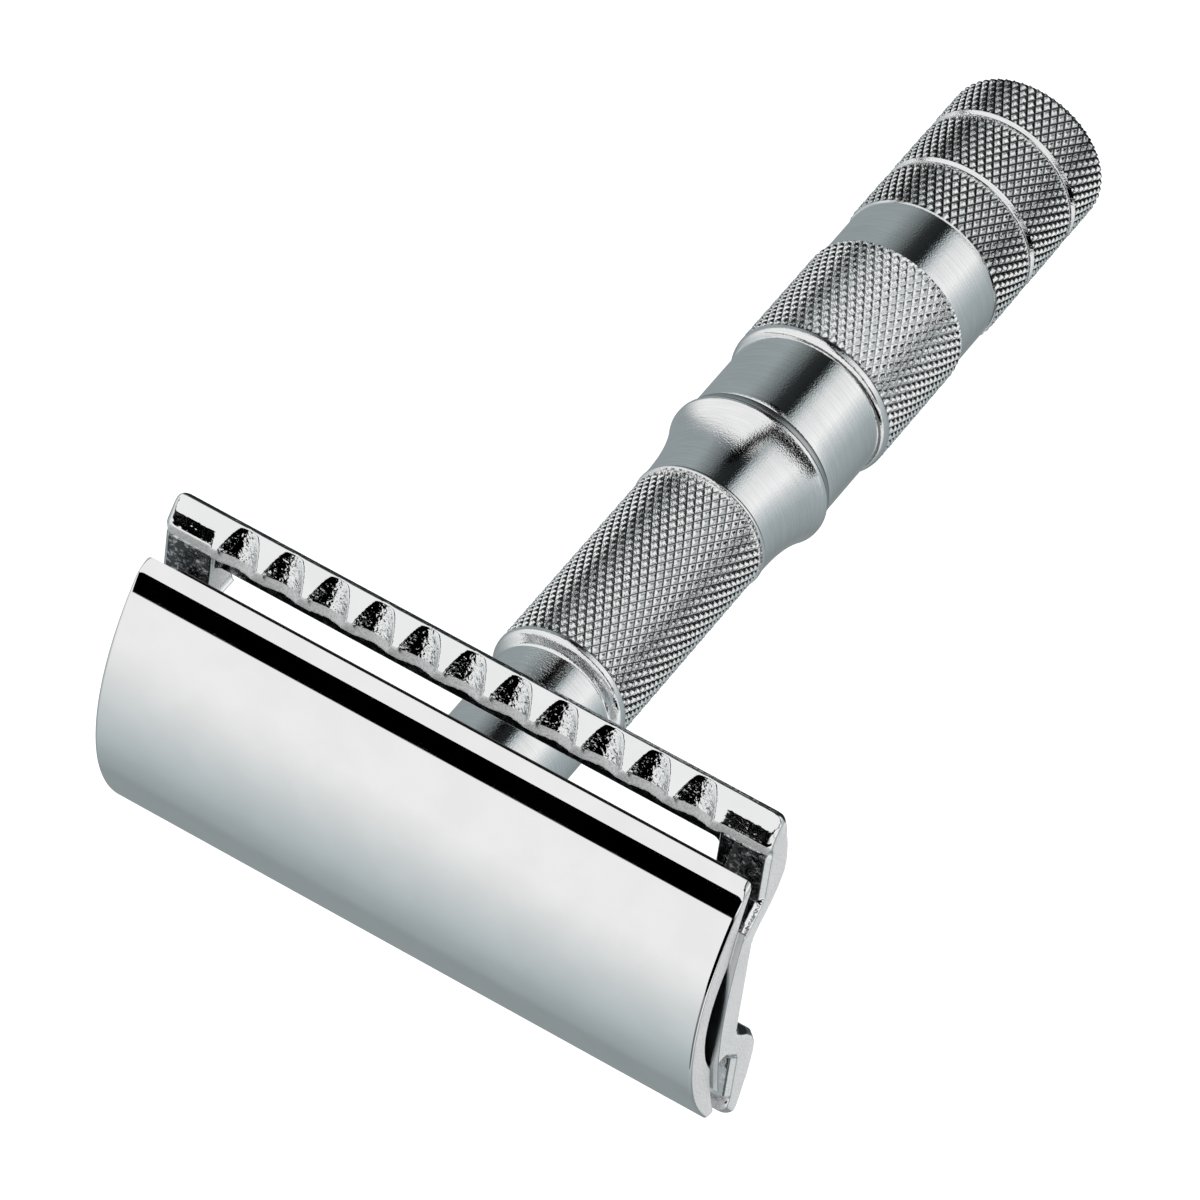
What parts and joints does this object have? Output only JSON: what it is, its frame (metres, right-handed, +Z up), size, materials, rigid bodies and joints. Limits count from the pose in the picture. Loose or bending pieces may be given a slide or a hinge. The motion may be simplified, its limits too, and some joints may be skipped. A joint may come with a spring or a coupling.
{
  "type": "safety razor",
  "caption": "Double-edge safety razor: curved cap over a scalloped guard plate, with a short knurled handle that unscrews in two parts.",
  "frame": {"origin": "centre of the handle's flat end face, which the razor stands on", "axes": "+Z up the handle to the cap, +X along the head, +Y across the head"},
  "size_m": [0.0428, 0.0278, 0.0751],
  "materials": {
    "polished_chrome": "mirror-polished chrome plate",
    "cast_chrome": "chrome plate over a lightly textured casting",
    "satin_chrome": "chrome plate over finely turned and knurled metal",
    "plated_stud": "plated screw thread",
    "blade_steel": "ground stainless strip with bright bevelled edges",
    "washer_steel": "satin"
  },
  "bodies": {
    "plate": {"base_plate": "cast_chrome"},
    "cap": {"cap_cover": "polished_chrome", "cap_stud": "plated_stud", "left_locating_peg": "polished_chrome", "right_locating_peg": "polished_chrome"},
    "blade": {"razor_blade": "blade_steel"},
    "handle": {"upper_handle": "satin_chrome", "joint_stud": "plated_stud"},
    "washer": {"joint_washer": "washer_steel"},
    "lower_grip": {"lower_handle": "satin_chrome"}
  },
  "joints": [
    {"name": "handle_turn", "type": "hinge", "parent": "plate", "child": "handle", "pos_m": [0, 0, 0.06], "axis": [0, 0, -1], "range_deg": [0, 3960]},
    {"name": "cap_lift", "type": "slide", "parent": "plate", "child": "cap", "axis": [0, 0, 1], "range_m": [0, 0.0088]},
    {"name": "blade_lift", "type": "slide", "parent": "plate", "child": "blade", "axis": [0, 0, 1], "range_m": [0, 0.0044]},
    {"name": "washer_drop", "type": "slide", "parent": "handle", "child": "washer", "axis": [0, 0, -1], "range_m": [0, 0.0096]},
    {"name": "lower_grip_turn", "type": "hinge", "parent": "washer", "child": "lower_grip", "pos_m": [0, 0, 0.02], "axis": [0, 0, -1], "range_deg": [0, 4320]}
  ],
  "couplings": [
    {"joint": "cap_lift", "follows": "handle_turn", "m_per_rad": 0.00012732},
    {"joint": "blade_lift", "follows": "handle_turn", "m_per_rad": 0.000063662},
    {"joint": "washer_drop", "follows": "lower_grip_turn", "m_per_rad": 0.00012732}
  ]
}
